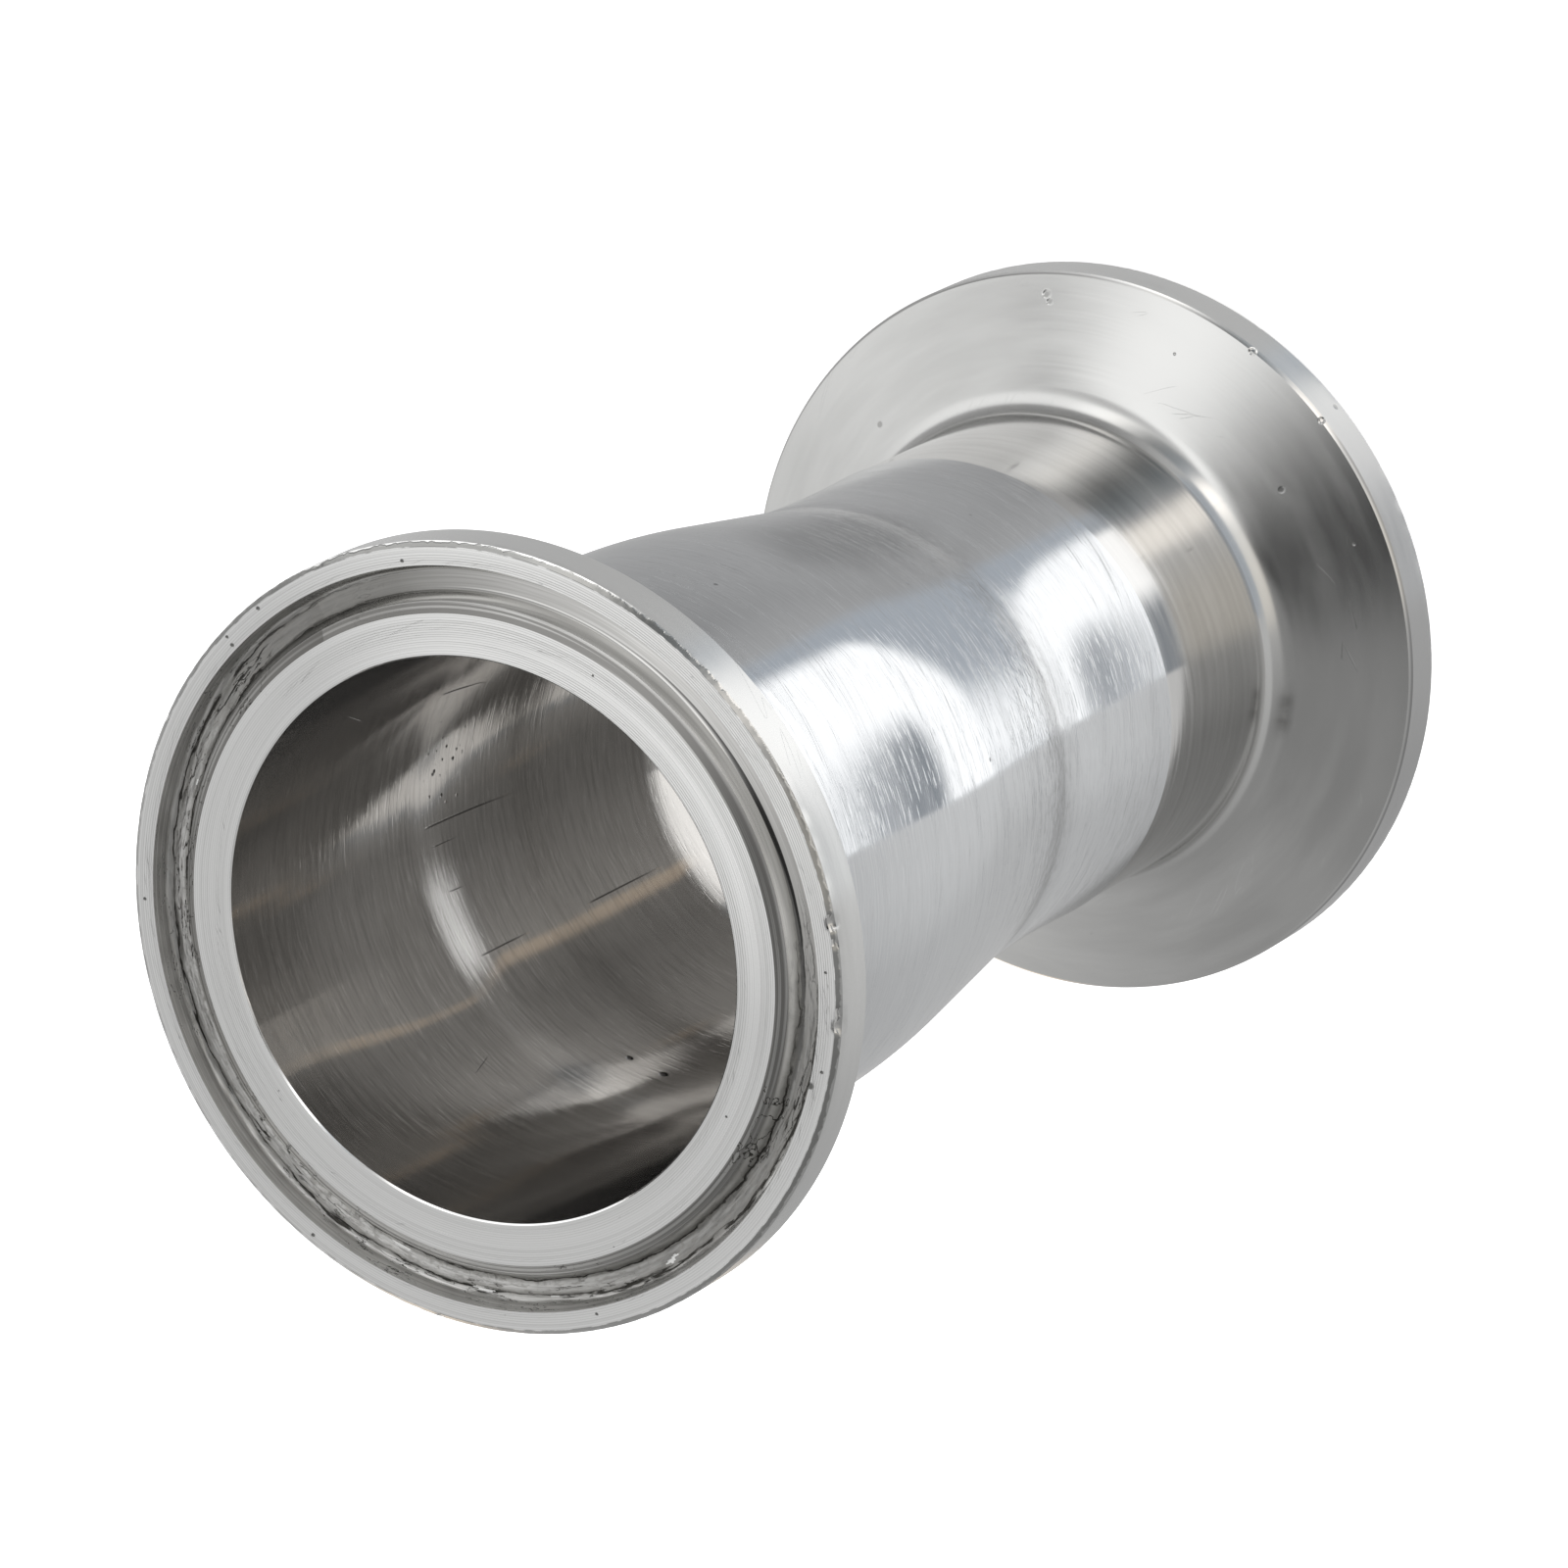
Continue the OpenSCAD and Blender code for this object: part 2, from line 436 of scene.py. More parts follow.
# The groove, smooth where the tool cut clean and torn, cracked and dirty elsewhere.
groove_steel, tree, shader = start_steel("torn_groove_steel", 0.25)
radius = use_group(tree, turned_place, "Radius")
bearing = use_group(tree, turned_place, "Bearing")
grit = tooling(tree, Around=2.2, Across=6, Seed=8.4, Detail=4)
streaks = tooling(tree, Around=0.12, Across=7, Seed=1.9, Detail=3)
tears = tooling(tree, Around=0.5, Across=2.2, Seed=4.4, Detail=8)
chatter = tooling(tree, Around=4.5, Across=1.2, Seed=81.3, Detail=2)
patches = tooling(tree, Around=0.12, Across=0.5, Seed=61.3, Detail=2)
hair_lines = tooling(tree, Around=0.03, Across=13, Seed=71.9, Detail=1)
torn = spread(tree, towards(tree, bearing, clean_bearing), 0.8, 0.1)
wandering = reckon(tree, "ADD", radius, reckon(tree, "MULTIPLY_ADD", tears, 1.1, -0.55))
outer_corner = away_from(tree, wandering, 23.1)
middle = away_from(tree, wandering, 22.65)
inner_corner = away_from(tree, wandering, 21.95)
fissure = largest(
    tree,
    spread(tree, outer_corner, 0.09, 0.02),
    spread(tree, inner_corner, 0.08, 0.02),
    times(tree, spread(tree, middle, 0.06, 0.015), spread(tree, patches, 0.5, 0.42)),
)
fissure = times(tree, fissure, torn, spread(tree, tears, 0.62, 0.5, 0.2, 1))
line = times(tree, crack(tree, tears, 0.01), torn, spread(tree, patches, 0.55, 0.45))
dirt = largest(tree, spread(tree, outer_corner, 0.42, 0.05), spread(tree, inner_corner, 0.34, 0.05))
dirt = times(tree, dirt, torn, spread(tree, grit, 0.3, 0.6))
floor_part = times(tree, spread(tree, radius, 23.4, 23.1), spread(tree, radius, 21.6, 21.9))
lip = spread(tree, radius, 21.6, 21.4)
outer_flank = spread(tree, radius, 23.2, 23.45)
tone = tint(tree, spread(tree, streaks, 0.3, 0.7), (0.5, 0.495, 0.48), (0.68, 0.675, 0.66))
lip_lines = times(tree, lip, spread(tree, hair_lines, 0.56, 0.44))
tone = tint(tree, lip_lines, tone, (0.3, 0.295, 0.285))
flank_lines = times(tree, outer_flank, spread(tree, hair_lines, 0.4, 0.6, 0.7, 0.1))
tone = tint(tree, flank_lines, tone, (0.88, 0.875, 0.86))
turn = reckon(tree, "FRACT", reckon(tree, "MULTIPLY_ADD", bearing, 1 / 360, 1))
floor_soil = shades_along(tree, turn, 360, (
    (0, 0.85), (30, 0.4), (60, 0.1), (90, 0.2), (120, 0), (150, 0.1), (180, 0.55),
    (210, 0.6), (240, 0.65), (262, 0.5), (275, 0.25), (300, 0), (325, 0.4), (345, 0.8),
))
lip_soil = shades_along(tree, turn, 360, (
    (0, 0.8), (30, 0.4), (60, 0.5), (90, 0.4), (120, 0), (160, 0), (200, 0.25), (225, 0.3),
    (250, 0), (320, 0), (345, 0.5),
))
soil = (0.1, 0.097, 0.09)
tone = tint(tree, times(tree, floor_part, floor_soil), tone, soil)
tone = tint(tree, times(tree, lip, lip_soil), tone, soil)
near_ticks = spread(tree, away_from(tree, radius, 22.05), 0.45, 0.1)
ticks = times(tree, spread(tree, chatter, 0.55, 0.68), near_ticks, torn, 0.6)
tone = tint(tree, ticks, tone, (0.16, 0.155, 0.145))
pitted = times(tree, spread(tree, grit, 0.52, 0.38), floor_part, torn, 0.55)
tone = tint(tree, pitted, tone, (0.26, 0.25, 0.235))
tone = tint(tree, times(tree, dirt, 0.6), tone, (0.2, 0.195, 0.18))
tone = tint(tree, largest(tree, fissure, line), tone, (0.05, 0.048, 0.043))
roughness = largest(tree, spread(tree, torn, 0, 1, 0.1, 0.42), times(tree, lip, 0.4))
rough = times(tree, grit, floor_part, torn)
coat(tree, shader, tone, roughness, (
    (streaks, 4), (hair_lines, 3), (rough, 30), (fissure, -50), (line, -20),
))

# The rim and its sloped back, satin from the turning tool, with knocks, scratches and a stain, a painted
# highlight and a painted shade along the edge, and painted shade in the knocks.
rim_steel, tree, shader = start_steel("satin_rim_steel", 0.22)
radius = use_group(tree, turned_place, "Radius")
height = use_group(tree, turned_place, "Height")
bearing = use_group(tree, turned_place, "Bearing")
fine_rings = tooling(tree, Around=0.015, Across=6, Seed=6.6, Detail=1)
lay = tooling(tree, Around=0.1, Across=0.7, Seed=4.2, Detail=3)
specks = use_group(tree, pits, "Pits", Size=0.9, Seed=9.3, Share=0.02)
slanted = tooling(tree, Around=0.5, Across=0.3, Twist=0.12, Seed=15.3, Detail=1)
scratch = times(tree, crack(tree, slanted, 0.003), spread(tree, lay, 0.56, 0.62))
half_height = face_height / 2
ragged = tooling(tree, Around=2.2, Across=0.8, Seed=51.2, Detail=6)
wander = reckon(tree, "MULTIPLY_ADD", ragged, 0.4, -0.2)
burr = reckon(tree, "ADD", away_from(tree, height, half_height), wander)
burr = spread(tree, burr, half_height - 0.27, half_height - 0.18)
burr = times(tree, burr, spread(tree, towards(tree, bearing, -70), -0.5, 0.3, 0.25, 0.65))
knocks = dents(tree, (
    (333.9, 23.77, 0.4), (333.2, 23.3, 0.3), (297, 25.1, 0.35), (281.8, 25.15, 0.3),
    (308, 22.2, 0.12), (262, 23.1, 0.12),
), rim_length, clamp_slope)
# Each score runs from one bearing to another, and from one radius to another.
scores = []
for begin, end, inner, outer in (
    (-112.5, -106.5, 21.95, 21.75), (-120.5, -114.5, 21.85, 20.9), (-118, -113.5, 20.8, 20.95),
):
    lean = (outer - inner) / (end - begin)
    off = reckon(tree, "MULTIPLY_ADD", bearing, lean, inner - lean * begin)
    line = spread(tree, away_from(tree, radius, off), 0.07, 0.02)
    starts, stops = spread(tree, bearing, begin, begin + 1), spread(tree, bearing, end, end - 2)
    scores.append(times(tree, line, starts, stops))
near_foot = spread(tree, height, 10, 8)
score = times(tree, largest(tree, *scores), near_foot)
# Painted shade: the knocks are painted darker inside, besides being dented by the bump.
dark = largest(
    tree, times(tree, specks, 0.6), times(tree, scratch, 0.12),
    times(tree, score, 0.35), times(tree, knocks, 0.35),
)
blotch = tooling(tree, Around=0.9, Across=0.9, Seed=66.1, Detail=5)
stain = times(
    tree,
    spread(tree, away_from(tree, bearing, -130), 8, 1),
    spread(tree, away_from(tree, radius, 17.4), 0.75, 0.05),
    spread(tree, blotch, 0.3, 0.65, 0.4, 1),
    near_foot,
)
# Painted highlight on one side of the rim's edge, and painted shade on another side near the foot.
on_edge = spread(tree, radius, rim_radius - 0.15, rim_radius - 0.05)
painted_highlight_side = spread(tree, towards(tree, bearing, -34), 0.75, 0.97)
painted_shade_side = spread(tree, towards(tree, bearing, -122), 0.55, 0.85)
painted_shade_side = times(tree, painted_shade_side, spread(tree, height, 10, 5, 0, 0.75))
tone = tint(tree, spread(tree, lay, 0.3, 0.7), (0.58, 0.58, 0.57), (0.64, 0.64, 0.63))
tone = tint(tree, times(tree, stain, 0.6), tone, (0.14, 0.135, 0.125))
tone = tint(tree, times(tree, on_edge, painted_highlight_side), tone, (0.97, 0.97, 0.96))
tone = tint(tree, times(tree, on_edge, painted_shade_side), tone, (0.3, 0.3, 0.3))
tone = tint(tree, dark, tone, (0.25, 0.25, 0.24))
tone = tint(tree, burr, tone, (0.22, 0.22, 0.21))
coat(tree, shader, tone, spread(tree, lay, 0.3, 0.7, 0.18, 0.26), (
    (fine_rings, 2), (specks, -10), (scratch, -3), (score, -8), (knocks, -60), (burr, 30),
))

# The bore, brushed round, with a ground weld painted bright as a highlight, a painted highlight round its
# mouth, pits beside the weld and long scores.
bore_steel, tree, shader = start_steel("brushed_bore_steel", 0.1, 0.8)
shader.inputs["Metallic"].default_value = 0.94
height = use_group(tree, turned_place, "Height")
bearing = use_group(tree, turned_place, "Bearing")
brush = tooling(tree, Around=0.3, Across=5, Seed=11.2, Detail=3)
lay = tooling(tree, Around=0.12, Across=2.5, Seed=14.8, Detail=2)
hairs = spread(tree, tooling(tree, Around=0.7, Across=6, Seed=19.1, Detail=1), 0.56, 0.7)
brush_shade = times(tree, spread(tree, brush, 0.52, 0.36), spread(tree, height, 28, 42, 0.04, 0.3))
smoother = spread(tree, height, 28, 42, 0.15, 1)
hairs = times(tree, hairs, smoother)
brush = times(tree, brush, smoother)
weld = times(tree, spread(tree, height, 55.6, 59), spread(tree, height, 62.2, 60))
aside = away_from(tree, bearing, 84.5)
# Painted highlight: the ground weld is painted lighter near bearing 84.5; it is also rougher.
ground_weld_and_painted_highlight = times(tree, weld, spread(tree, aside, 16, 5, 0.15, 1), spread(tree, brush, 0.25, 0.55, 0.4, 1))
side = times(tree, spread(tree, bearing, 36, 41), spread(tree, bearing, 62, 57))
near_weld = times(tree, spread(tree, height, 55.2, 56.2), spread(tree, height, 60.3, 59.3))
specks = use_group(tree, pits, "Pits", Size=1.6, Seed=5.1, Share=1)
specks = times(tree, specks, side, near_weld)
holes = dents(tree, ((136.8, 17.88, 0.36), (128.4, 17.85, 0.28)), 54.3)
# Each score has its bearing at height 57, its two ends, half its width and its skew.
scores = []
for turn, foot, top, half, skew in (
    (34, 54, 60.5, 0.3, 0.3), (63.6, 48.5, 60.2, 0.36, 0.05), (68, 55.8, 59.7, 0.26, 0.05),
    (92.9, 37.8, 46.4, 0.24, 0.05), (92.7, 52, 58.5, 0.22, 0.03), (78.1, 56.6, 58.9, 0.22, 0.1),
    (50, 70, 74, 0.15, 1.5), (106, 64, 67, 0.15, -0.8),
):
    off = reckon(tree, "MULTIPLY_ADD", height, -skew, turn + 57 * skew)
    line = spread(tree, away_from(tree, bearing, off), half, half * 0.2)
    starts = spread(tree, height, foot, (foot + top) / 2)
    scores.append(times(tree, line, starts, spread(tree, height, top, top - 1)))
score = largest(tree, *scores)
tone = tint(tree, spread(tree, lay, 0.3, 0.7), (0.53, 0.515, 0.493), (0.58, 0.565, 0.543))
tone = tint(tree, times(tree, hairs, 0.4), tone, (0.78, 0.77, 0.75))
tone = tint(tree, brush_shade, tone, (0.3, 0.29, 0.28))
tone = tint(tree, spread(tree, aside, 34, 62, 0, 0.5), tone, (0.36, 0.35, 0.34))
tone = tint(tree, ground_weld_and_painted_highlight, tone, (0.74, 0.73, 0.71))
# Painted highlight: a thin light ring round the mouth's edge.
painted_mouth_highlight = spread(tree, height, face_height - 0.12, face_height - 0.08)
tone = tint(tree, painted_mouth_highlight, tone, (0.95, 0.95, 0.94))
tone = tint(tree, largest(tree, specks, holes, times(tree, score, 0.88)), tone, (0.1, 0.095, 0.09))
roughness = reckon(tree, "ADD", spread(tree, lay, 0.3, 0.7, 0.06, 0.11), times(tree, ground_weld_and_painted_highlight, 0.12))
slump = reckon(tree, "SUBTRACT", spread(tree, height, 55.5, 62), spread(tree, height, 62, 81))
flanks = spread(tree, away_from(tree, aside, 38), 22, 0, 0.04, 0.25)
slump = times(tree, slump, largest(tree, spread(tree, aside, 20, 4), flanks))
coat(tree, shader, tone, roughness, (
    (slump, 210), (brush, 2.2), (hairs, -1.6), (score, -12), (specks, -30), (holes, -60),
))

# Tube and large neck, polished on a belt whose fine marks cross each other round the tube.
belt_steel, tree, shader = start_steel("belt_polished_steel", 0.1, 0.4)
height = use_group(tree, turned_place, "Height")
brush = tooling(tree, Around=0.35, Across=9, Twist=0.03, Seed=21.5, Detail=2)
broad = tooling(tree, Around=0.07, Across=1.2, Seed=24.1, Detail=2)
strokes = tooling(tree, Around=0.36, Across=8, Twist=0.09, Seed=41.7, Detail=1)
others = tooling(tree, Around=0.4, Across=8, Twist=-0.07, Seed=47.2, Detail=1)
strokes = largest(tree, spread(tree, strokes, 0.61, 0.7), spread(tree, others, 0.61, 0.7))
cross = tooling(tree, Around=1.5, Across=0.12, Twist=0.3, Seed=17.3, Detail=1)
scratch = times(tree, crack(tree, cross, 0.006), spread(tree, broad, 0.5, 0.6))
specks = use_group(tree, pits, "Pits", Size=1.3, Seed=8.8, Share=0.012)
crease = times(tree, spread(tree, height, 33.5, 36.3), spread(tree, height, 40, 37.6))
near_crease = times(tree, spread(tree, height, 34.5, 37), spread(tree, height, 46, 39))
flecks = tooling(tree, Around=1.1, Across=1.8, Seed=91.5, Detail=4)
flecks = times(tree, spread(tree, flecks, 0.45, 0.62), near_crease)
tone = tint(tree, spread(tree, brush, 0.3, 0.7), (0.61, 0.62, 0.63), (0.64, 0.65, 0.66))
tone = tint(tree, times(tree, strokes, 0.16), tone, (0.82, 0.83, 0.84))
# The crease band and the flecks near it are darker, and the crease is a little duller.
darker_crease = reckon(tree, "MULTIPLY_ADD", crease, 0.14, times(tree, flecks, 0.22))
tone = tint(tree, darker_crease, tone, (0.4, 0.4, 0.4))
tone = tint(tree, times(tree, specks, 0.7), tone, (0.25, 0.25, 0.25))
dull = reckon(tree, "MULTIPLY_ADD", crease, 0.08, spread(tree, height, 34, 29, 0, 0.05))
roughness = reckon(tree, "ADD", spread(tree, broad, 0.3, 0.7, 0.075, 0.105), dull)
# Above a height of 61 the large neck eases off, and the small skirt is a little hollow.
ease = largest(tree, reckon(tree, "MULTIPLY_ADD", height, 1 / 15, -61 / 15), 0)
ease = times(tree, ease, ease)
hollow = spread(tree, height, 20.5, 33.5)
coat(tree, shader, tone, roughness, (
    (ease, -220), (hollow, -130), (broad, 0.6), (brush, 1.6), (strokes, -2.4),
    (flecks, -3), (scratch, -5), (specks, -12),
))

# The neck left as the fine turning tool cut it.
neck_steel, tree, shader = start_steel("turned_neck_steel", 0.1, 0.4)
fine_rings = tooling(tree, Around=0.02, Across=5, Seed=31.4, Detail=1)
brush = tooling(tree, Around=0.1, Across=2, Seed=35.2, Detail=2)
tone = tint(tree, spread(tree, brush, 0.3, 0.7), (0.58, 0.575, 0.565), (0.64, 0.635, 0.625))
coat(tree, shader, tone, spread(tree, brush, 0.3, 0.7, 0.07, 0.12), ((fine_rings, 1.5), (brush, 1.5)))


def finish_surfaces(piece, choose):
    # The steels go on by place: choose takes the radius, the height and the outward lean.
    steels = {}
    for face in piece.data.polygons:
        place = face.center / mm
        r = hypot(place.x, place.y)
        lean = (face.normal.x * place.x + face.normal.y * place.y) / r
        steel = choose(r, place.z, lean)
        if steel.name not in steels:
            steels[steel.name] = len(piece.data.materials)
            piece.data.materials.append(steel)
        face.material_index = steels[steel.name]


def ferrule_finish(tube_r, face_z, neck_depth, neck):
    # The neck's own steel starts at neck_depth under the face.
    def choose(r, z, lean):
        depth = abs(face_z - z)
        if r < tube_r - 0.4 and depth > 0.02:
            return bore_steel
        if depth < 0.02 and lean < 0.5:
            return faced_steel
        if r < rim_radius - 0.28 and depth < groove_depth + 0.05:
            return groove_steel
        return neck if depth > neck_depth else rim_steel

    return choose


def wear(piece, face_z, way, knocks):
    # Each knock is a bearing, a depth under the face, a size and how deep it goes in.
    spots = []
    for turn, down, size, deep in knocks:
        out = Vector((cos(radians(turn)), sin(radians(turn)), 0))
        corner = out * (rim_radius - 0.15 if down < 0.3 else rim_radius)
        corner.z = face_z - way * down
        spots.append((corner + (out * 0.75 + Vector((0, 0, way * 0.65))) * (size - deep), size))
    for vertex in piece.data.vertices:
        place = vertex.co / mm
        r = hypot(place.x, place.y)
        down = way * (face_z - place.z)
        if down > 3.5 or r < rim_radius - 4.5:
            continue
        out = Vector((place.x, place.y, 0)) / r
        around = out * mean_radius
        if r > rim_radius - 0.5:
            # The sharp edge is a little ragged.
            edge = exp(-((down - 0.15) / 0.2) ** 2)
            place -= out * 0.05 * edge * abs(noise.noise(Vector((around.x * 1.5, around.y * 1.5, 3))))
            for spot, size in spots:
                gap = place - spot
                if gap.length < size:
                    place += gap.normalized() * (size - gap.length)
        elif r < rim_radius - 1.6 and down > 0.45:
            turn = atan2(place.y, place.x) - radians(clean_bearing)
            torn = min(max(0.8 - cos(turn), 0), 0.7) / 0.7
            grain = Vector((around.x * 0.3, around.y * 0.3, (r + 0.8 * place.z) * 1.6))
            place += Vector((0, 0, way)) * 0.09 * torn * noise.fractal(grain, 0.6, 2.1, 3)
        vertex.co = place * mm


large_ferrule = draw_ferrule("turned_large_ferrule", tube_radius, face_height, 1)
wear(large_ferrule, face_height, 1, (
    (249.7, 0.12, 0.9, 0.2), (246.8, 0.12, 0.5, 0.12), (236.9, 0.12, 0.6, 0.14),
    (235.0, 0.15, 0.9, 0.19), (355.4, 0.12, 0.5, 0.14), (32.1, 0.12, 0.4, 0.14),
    (82, 0.12, 0.4, 0.1), (141, 0.12, 0.5, 0.12), (200, 0.12, 0.4, 0.1),
))
finish_surfaces(large_ferrule, ferrule_finish(tube_radius, face_height, 7, belt_steel))
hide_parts("large_ferrule")
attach(large_ferrule, "root")

# Reducing body
# Stainless tube drawn down over a die: a flared skirt with a soft waist, a crease,
# the taper and a rounded shoulder. It is welded at both ends and belt polished.
low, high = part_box("reducer_body")
foot, top = low.z / mm, high.z / mm
small_radius = 16.25
flare_radius, waist = 150.0, foot + 5.5
flare_r = small_radius + flare_radius
crease_height = foot + 15.3
crease_radius = flare_r - sqrt(flare_radius**2 - (crease_height - waist) ** 2)
taper_top = top - 7.4
taper = atan((tube_radius - crease_radius) / (taper_top - crease_height))
blend = 10.4
shoulder_bend = blend / 2 / tan(taper / 2)
shoulder_r, shoulder_z = tube_radius - shoulder_bend, taper_top + blend / 2


def side_at(inset):
    # Where the taper starts and ends on a surface that lies inset under the outside.
    reach, bend = flare_radius + inset, shoulder_bend - inset
    end_r, end_z = shoulder_r + bend * cos(taper), shoulder_z - bend * sin(taper)
    off_r, off_z = end_r - flare_r, end_z - waist
    along = off_r * sin(taper) + off_z * cos(taper)
    back = along + sqrt(along**2 - (off_r**2 + off_z**2 - reach**2))
    start_r, start_z = end_r - back * sin(taper), end_z - back * cos(taper)
    return start_r, start_z, end_r, end_z, degrees(atan2(start_z - waist, flare_r - start_r))


start_r, start_z, end_r, end_z, lift = side_at(0)
drop = degrees(asin((waist - foot) / flare_radius))
foot_r = flare_r - flare_radius * cos(radians(drop))
reducing_body = start_section("drawn_reducing_body", foot_r, foot)
arc_about(flare_r, waist, -(drop + lift), 30)
line_to(end_r, end_z, 24)
arc_about(shoulder_r, shoulder_z, degrees(taper), 16)
line_to(tube_radius, top, 3)

start_r, start_z, end_r, end_z, lift = side_at(wall)
bore_radius, small_bore_radius = tube_radius - wall, small_radius - wall
bore_bend = shoulder_bend - wall
line_to(bore_radius - swell_over_weld(0), top)
for step in range(1, 12):
    past = step * swell_step
    line_to(bore_radius - swell_over_weld(past), top - past)
for step in range(12, 27):
    past = step * swell_step
    side = shoulder_r + sqrt(bore_bend**2 - (shoulder_z - (top - past)) ** 2)
    line_to(side - swell_over_weld(past), top - past)
bent = degrees(atan2(shoulder_z - (top - past_swell), bore_bend))
arc_about(shoulder_r, shoulder_z, bent - degrees(taper), 12)
line_to(start_r, start_z, 16)
arc_about(flare_r, waist, lift, 16)
line_to(small_bore_radius, foot + past_swell)
for step in range(25, -1, -1):
    past = step * swell_step
    line_to(small_bore_radius - swell_over_weld(past), foot + past)
line_to(foot_r, foot)
turn_section(reducing_body, 480)


def finish_of_body(r, z, lean):
    return belt_steel if lean > 0 else bore_steel


finish_surfaces(reducing_body, finish_of_body)
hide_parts("reducer_body")
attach(reducing_body, "root")

# Small ferrule
# Turned like the large one, with the same rim and groove on a narrower neck.
# Its face is the foot of the part, and its neck keeps the turned finish.
small_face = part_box("small_ferrule")[0].z / mm
small_ferrule = draw_ferrule("turned_small_ferrule", small_radius, small_face, -1)
wear(small_ferrule, 0.0, -1, (
    (300, 0.12, 0.4, 0.12), (20, 0.12, 0.5, 0.14), (151, 0.12, 0.4, 0.1),
))
finish_surfaces(small_ferrule, ferrule_finish(small_radius, 0.0, 7.6, neck_steel))
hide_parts("small_ferrule")
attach(small_ferrule, "root")

# Studio
# A white table under a white light tent. One side of the tent is a bright window,
# and the photographer's side is dark, which the polished steel shows.
bpy.ops.mesh.primitive_plane_add(size=6, location=(0, 0, 0))
table = bpy.context.object
table.name = "white_table"
table.visible_glossy = False
white_card = bpy.data.materials.new("white_card")
white_card.use_nodes = True
white_card.cycles.emission_sampling = "NONE"
tree = white_card.node_tree
tree.nodes.clear()
paper = tree.nodes.new("ShaderNodeBsdfDiffuse")
paper.inputs["Color"].default_value = (0.9, 0.9, 0.9, 1)
glow = tree.nodes.new("ShaderNodeEmission")
seen = tree.nodes.new("ShaderNodeLightPath").outputs["Is Camera Ray"]
tree.links.new(times(tree, seen, 0.45), glow.inputs["Strength"])
both = tree.nodes.new("ShaderNodeAddShader")
tree.links.new(paper.outputs[0], both.inputs[0])
tree.links.new(glow.outputs[0], both.inputs[1])
tree.links.new(both.outputs[0], tree.nodes.new("ShaderNodeOutputMaterial").inputs[0])
table.data.materials.append(white_card)

bpy.ops.mesh.primitive_uv_sphere_add(segments=64, ring_count=32, radius=2, location=(0, 0, 0.04))
tent = bpy.context.object
tent.name = "light_tent"
tent.visible_camera = tent.visible_diffuse = tent.visible_shadow = False
tent_cloth = bpy.data.materials.new("tent_cloth")
tent_cloth.use_nodes = True
tent_cloth.cycles.emission_sampling = "NONE"
tree = tent_cloth.node_tree
tree.nodes.clear()
full_glow = 2.5
bright = (1.6 / full_glow,) * 3
# A place on the tent is read as a bearing and as run, u and v, its slants away from the axis.
parts = tree.nodes.new("ShaderNodeSeparateXYZ")
tree.links.new(tree.nodes.new("ShaderNodeTexCoord").outputs["Object"], parts.inputs[0])
x, y, z = parts.outputs
fall = largest(tree, reckon(tree, "ABSOLUTE", z), 0.02)
u = reckon(tree, "DIVIDE", x, fall)
v = reckon(tree, "DIVIDE", y, fall)
run = reckon(tree, "SQRT", reckon(tree, "ADD", times(tree, u, u), times(tree, v, v)))
bearing = reckon(tree, "DIVIDE", reckon(tree, "ARCTAN2", y, x), 2 * pi)
bearing = reckon(tree, "FRACT", reckon(tree, "ADD", bearing, 1))
around = times(tree, bearing, 360)

# Under the part: cloth near the foot, darker cloth farther out with one warm seam.
near_cloth = shades_along(tree, bearing, 360, (
    (0, 0.48), (26, 0.47), (60, 0.46), (110, 0.52), (150, 0.58), (180, 0.63),
    (196, 0.74), (212, 0.80), (233, 0.80), (300, 0.68), (316, 0.54), (338, 0.45), (354, 0.48),
), full_glow)
far_cloth = shades_along(tree, bearing, 360, (
    (0, 0.33), (20, 0.36), (48, 0.48), (82, 0.62), (105, 0.74), (108, (1.25, 1.1, 0.93)),
    (114, (1.15, 1.0, 0.85)), (119, 0.48), (147, 0.42), (180, 0.5), (215, 0.65), (235, 0.7),
    (300, 0.7), (320, 0.5), (340, 0.33),
), full_glow)
cloth = tint(tree, spread(tree, run, 0.66, 0.76), near_cloth, far_cloth)
shady = times(
    tree, spread(tree, run, 0.58, 0.46), spread(tree, u, 0.02, 0.15), spread(tree, v, -0.15, 0.12)
)
cloth = tint(tree, times(tree, shady, 0.4), cloth, (0.04, 0.04, 0.04))
near_edge = reckon(tree, "ADD", reckon(tree, "MULTIPLY_ADD", v, -0.404, 0.171), u)
far_edge = reckon(tree, "ADD", reckon(tree, "MULTIPLY_ADD", v, 0.56, -0.242), u)
slant = reckon(tree, "MULTIPLY_ADD", u, 0.45, v)
left = spread(tree, near_edge, -0.014, 0.014)
upper = spread(tree, slant, -0.27, -0.335)
right = times(tree, spread(tree, far_edge, -0.07, -0.18), spread(tree, run, 1.6, 1.1))
panel = times(tree, left, spread(tree, far_edge, 0.045, -0.045), spread(tree, slant, 0.1, -0.05))
cloth = tint(tree, panel, cloth, tuple(part / full_glow for part in (0.53, 0.57, 0.62)))
hole_along = reckon(tree, "DIVIDE", reckon(tree, "SUBTRACT", around, 245), 25)
hole_across = reckon(tree, "DIVIDE", reckon(tree, "SUBTRACT", run, 0.622), 0.08)
hole = reckon(
    tree, "ADD", times(tree, hole_along, hole_along), times(tree, hole_across, hole_across)
)
hole = spread(tree, hole, 0.5, 1.8)
window = times(tree, left, upper, right, hole)
core = times(tree, reckon(tree, "SUBTRACT", 1, hole), left, spread(tree, far_edge, 0, -0.03))
cloth = tint(tree, times(tree, core, 0.5), cloth, (0.06, 0.065, 0.07))
below = tint(tree, window, cloth, bright)

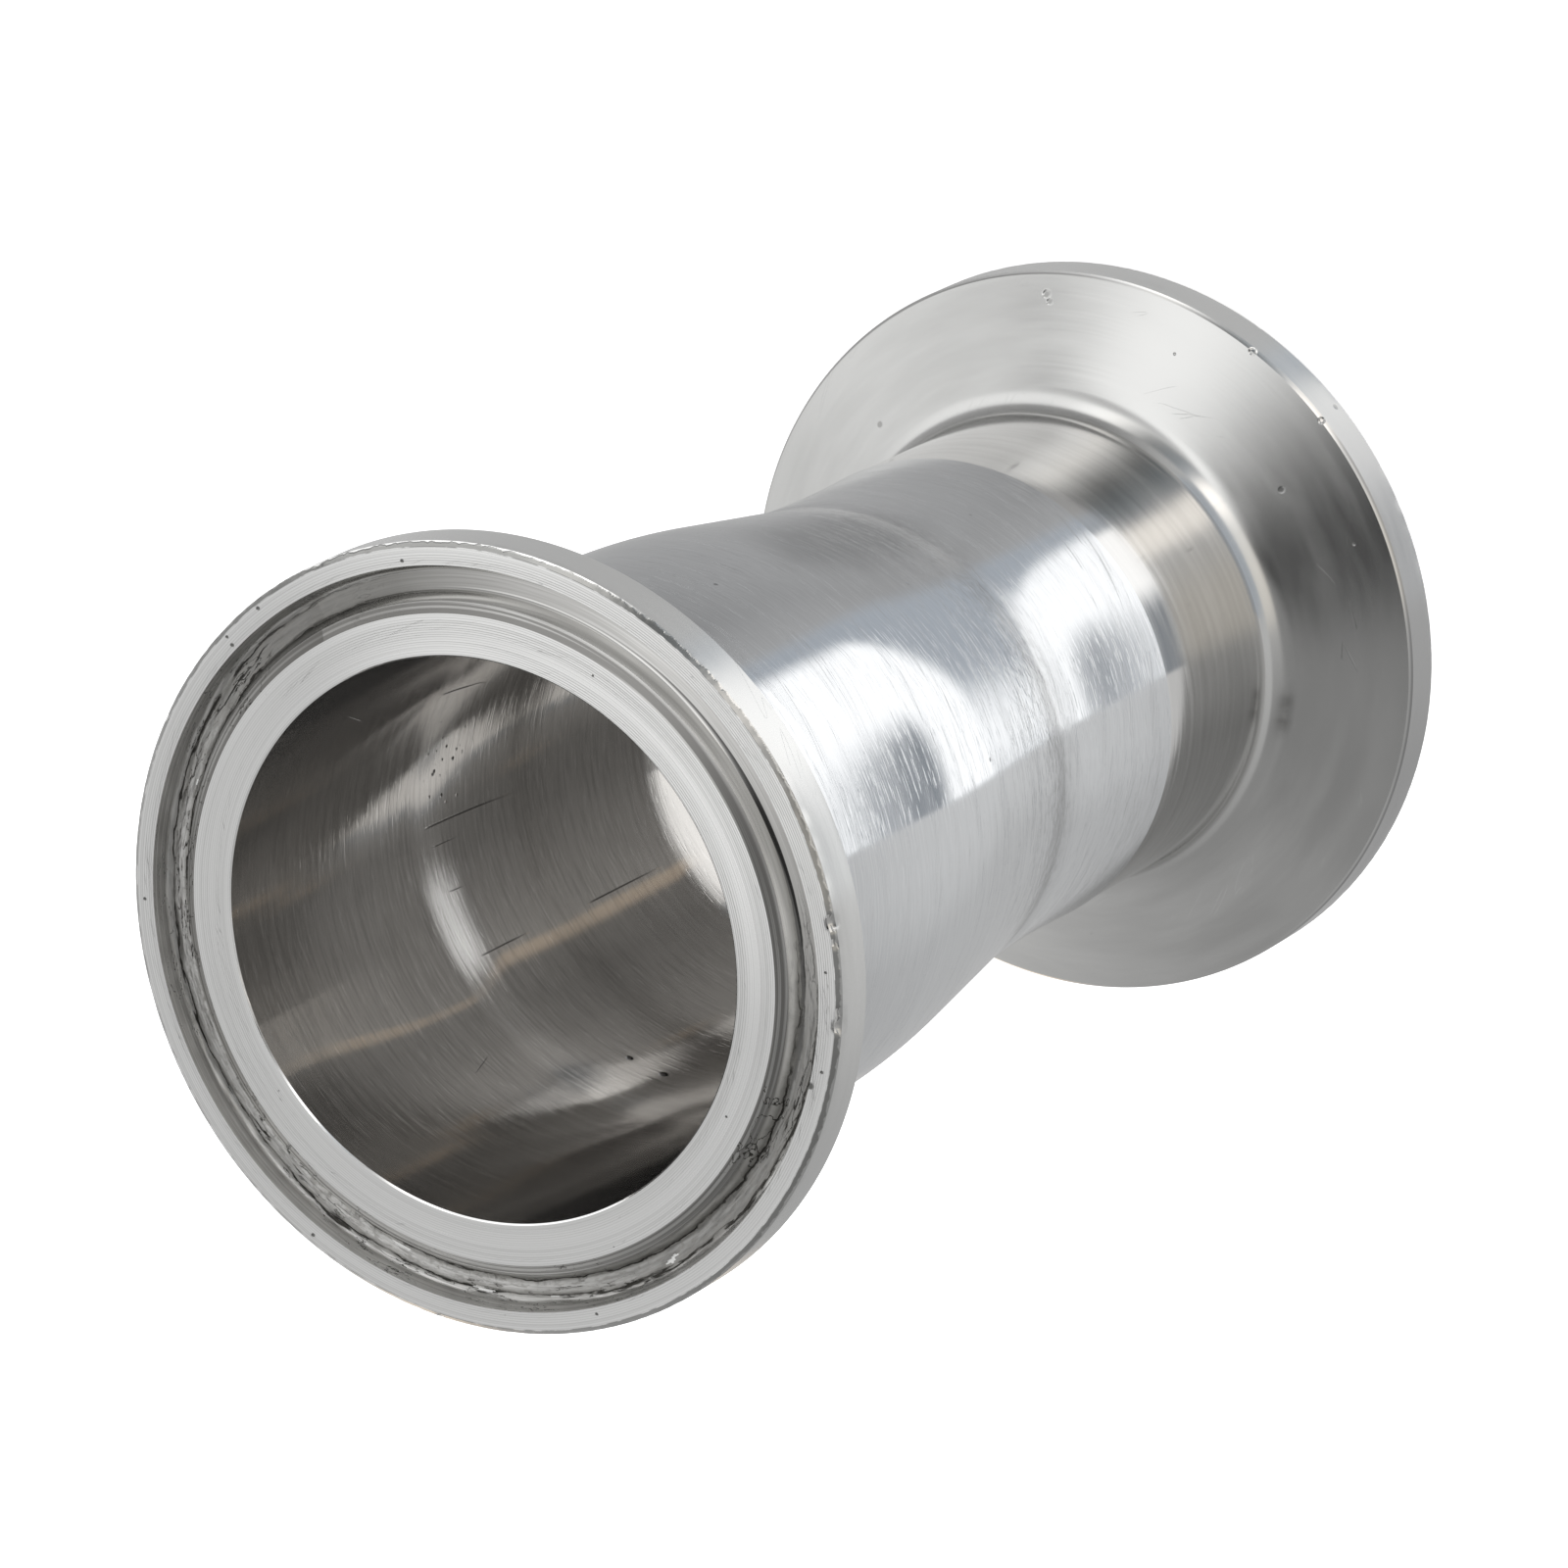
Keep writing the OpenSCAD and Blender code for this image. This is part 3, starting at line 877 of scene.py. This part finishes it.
# Over the part: the dark camera side, a soft lamp beside it and the white ceiling.
sideways = reckon(tree, "MULTIPLY_ADD", u, 0.5, 0.5)
card = shades_along(tree, sideways, 2, (
    (0.0, 0.38), (0.4, 0.31), (0.68, 0.34), (0.8, 0.06), (0.98, 0.06), (1.12, 0.3),
    (1.28, 0.9), (1.38, 1.5), (1.62, 1.6), (1.7, 0.68), (1.84, 0.6), (2.0, 0.78),
), full_glow)
ceiling = shades_along(tree, sideways, 2, (
    (0.0, 0.37), (0.3, 0.45), (0.6, 1.05), (1.5, 1.05), (2.0, 0.9),
), full_glow)
over = tint(tree, spread(tree, v, 0.3, 0.48), card, ceiling)
walls = shades_along(tree, bearing, 360, (
    (0, 1.2), (36, 1.2), (60, 0.88), (105, 0.75), (127, 0.5), (154, 0.38), (206, 0.35),
    (222, 0.46), (238, 0.55), (243, (0.9, 0.86, 0.8)), (262, (1.0, 0.96, 0.9)), (281, 1.0),
    (286, (2.2, 2.1, 2.0)), (296, (2.2, 2.1, 2.0)), (300, (0.54, 0.58, 0.63)),
    (311, (0.24, 0.27, 0.29)), (320, 0.26), (327, 0.8), (335, (1.75, 1.72, 1.68)),
    (345, 1.6), (353, 1.15),
), full_glow)
above = tint(tree, spread(tree, run, 1.15, 1.7), over, walls)

glow = tree.nodes.new("ShaderNodeEmission")
glow.inputs["Strength"].default_value = full_glow
tree.links.new(tint(tree, spread(tree, z, -0.03, 0.03), below, above), glow.inputs["Color"])
tree.links.new(glow.outputs[0], tree.nodes.new("ShaderNodeOutputMaterial").inputs[0])
tent.data.materials.append(tent_cloth)

for name, place, power, size in (
    ("key_lamp", (-0.5, -0.35, 0.9), 9, 0.7), ("fill_lamp", (0.7, 0.5, 0.8), 5, 0.9),
):
    bpy.ops.object.light_add(type="AREA", location=place)
    lamp = bpy.context.object
    lamp.name = name
    lamp.data.energy = power
    lamp.data.size = size
    lamp.rotation_euler = (-Vector(place)).to_track_quat("-Z", "Y").to_euler()
    lamp.visible_glossy = False

world = bpy.data.worlds.new("plain_white")
bpy.context.scene.world = world
world.use_nodes = True
tree = world.node_tree
path = tree.nodes.new("ShaderNodeLightPath").outputs
shown = largest(tree, path["Is Camera Ray"], path["Is Glossy Ray"], path["Is Transmission Ray"])
sky = tint(tree, shown, (0.75, 0.75, 0.75), (1, 1, 1))
tree.links.new(sky, tree.nodes["Background"].inputs["Color"])

bpy.context.scene.view_settings.view_transform = "Standard"
